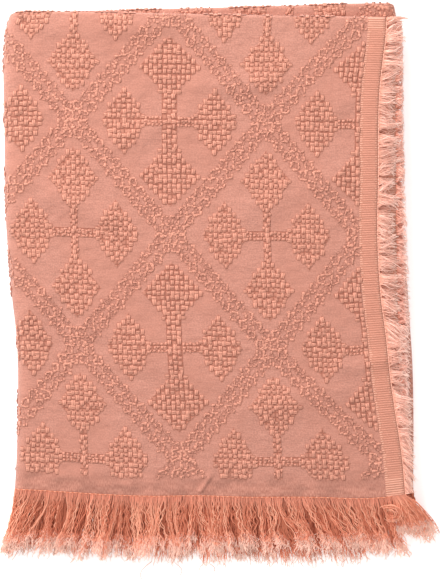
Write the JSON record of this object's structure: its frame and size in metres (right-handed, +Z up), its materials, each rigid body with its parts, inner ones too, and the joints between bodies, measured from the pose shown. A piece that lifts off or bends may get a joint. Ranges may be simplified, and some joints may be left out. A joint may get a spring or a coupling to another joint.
{
  "type": "folded woven throw",
  "caption": "Thin woven throw with long end fringes and short side fringes, folded in four along its length and in four across its width, lying flat.",
  "frame": {"origin": "middle of the bounding box's base, on the surface that the folded throw lies on", "axes": "+Z up through the stack of layers; +Y towards the folded top edge, away from the long fringes; +X towards the two selvedges, away from the last fold"},
  "size_m": [0.3509, 0.4674, 0.0247],
  "materials": {
    "cloth": "soft matt weave",
    "fringe": "soft matt yarn"
  },
  "bodies": {
    "root": {"cloth": "cloth", "warp_fringe_first": "fringe", "warp_fringe_last": "fringe", "side_fringe_inner": "fringe", "side_fringe_front": "fringe"}
  },
  "joints": []
}
